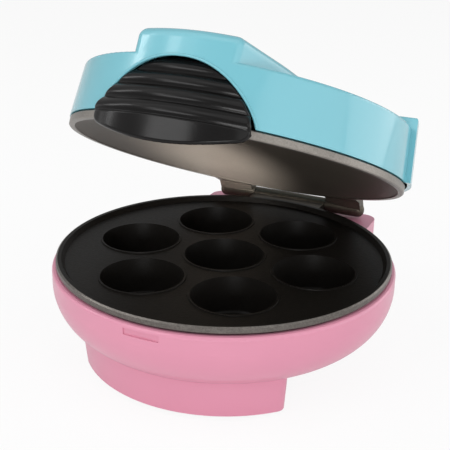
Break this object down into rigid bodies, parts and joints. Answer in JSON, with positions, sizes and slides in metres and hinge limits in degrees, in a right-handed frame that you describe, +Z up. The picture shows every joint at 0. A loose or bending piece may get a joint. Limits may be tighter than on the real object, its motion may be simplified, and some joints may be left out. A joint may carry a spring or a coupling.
{
  "type": "cupcake maker",
  "caption": "Round tabletop cupcake maker with a pink bowl base on curved legs, a black cup plate and a hinged pale blue lid with a ribbed black handle.",
  "frame": {"origin": "middle of the footprint, on the surface that the feet stand on", "axes": "+Z up, -Y towards the handle at the front, +Y towards the hinge, X along the hinge pin"},
  "size_m": [0.2168, 0.239, 0.2123],
  "materials": {
    "pink_plastic": "glossy moulded plastic, pale pink",
    "blue_plastic": "glossy moulded plastic, pale blue",
    "black_plastic": "glossy ribbed black plastic",
    "nonstick_plate": "cast plate with a black non-stick coat and a bare machined rim",
    "nonstick_dish": "cast dish with a dark satin non-stick coat and a bare machined rim",
    "heater_steel": "sheathed steel heater",
    "shield_metal": "thin bright sheet",
    "screw_steel": "plated steel screws",
    "pin_steel": "dark ground steel pin",
    "foot_rubber": "matt soft pink rubber",
    "gland_rubber": "matt black rubber",
    "control_plastic": "pale heat-resistant plastic"
  },
  "bodies": {
    "base": {"base_shell": "pink_plastic", "bottom_cover": "pink_plastic", "bottom_screws": "screw_steel", "rubber_feet": "foot_rubber", "lower_plate": "nonstick_plate", "plate_screws": "screw_steel", "lower_heater": "heater_steel", "lower_heater_clips": "shield_metal", "lower_shield": "shield_metal", "lower_posts": "shield_metal", "lower_shield_screws": "screw_steel", "thermostat": "control_plastic", "lower_thermal_fuse": "control_plastic", "terminal_block": "control_plastic", "cord_gland": "gland_rubber", "hinge_pin": "pin_steel"},
    "lid": {"lid_shell": "blue_plastic", "lid_handle": "black_plastic", "handle_screws": "screw_steel", "upper_plate": "nonstick_dish", "upper_heater": "heater_steel", "upper_heater_clips": "shield_metal", "upper_shield": "shield_metal", "upper_posts": "shield_metal", "upper_shield_screws": "screw_steel", "upper_thermal_fuse": "control_plastic"}
  },
  "joints": [
    {"name": "lid_hinge", "type": "hinge", "parent": "base", "child": "lid", "pos_m": [0, 0.1055, 0.064], "axis": [-1, 0, 0], "range_deg": [-27, 73]}
  ]
}
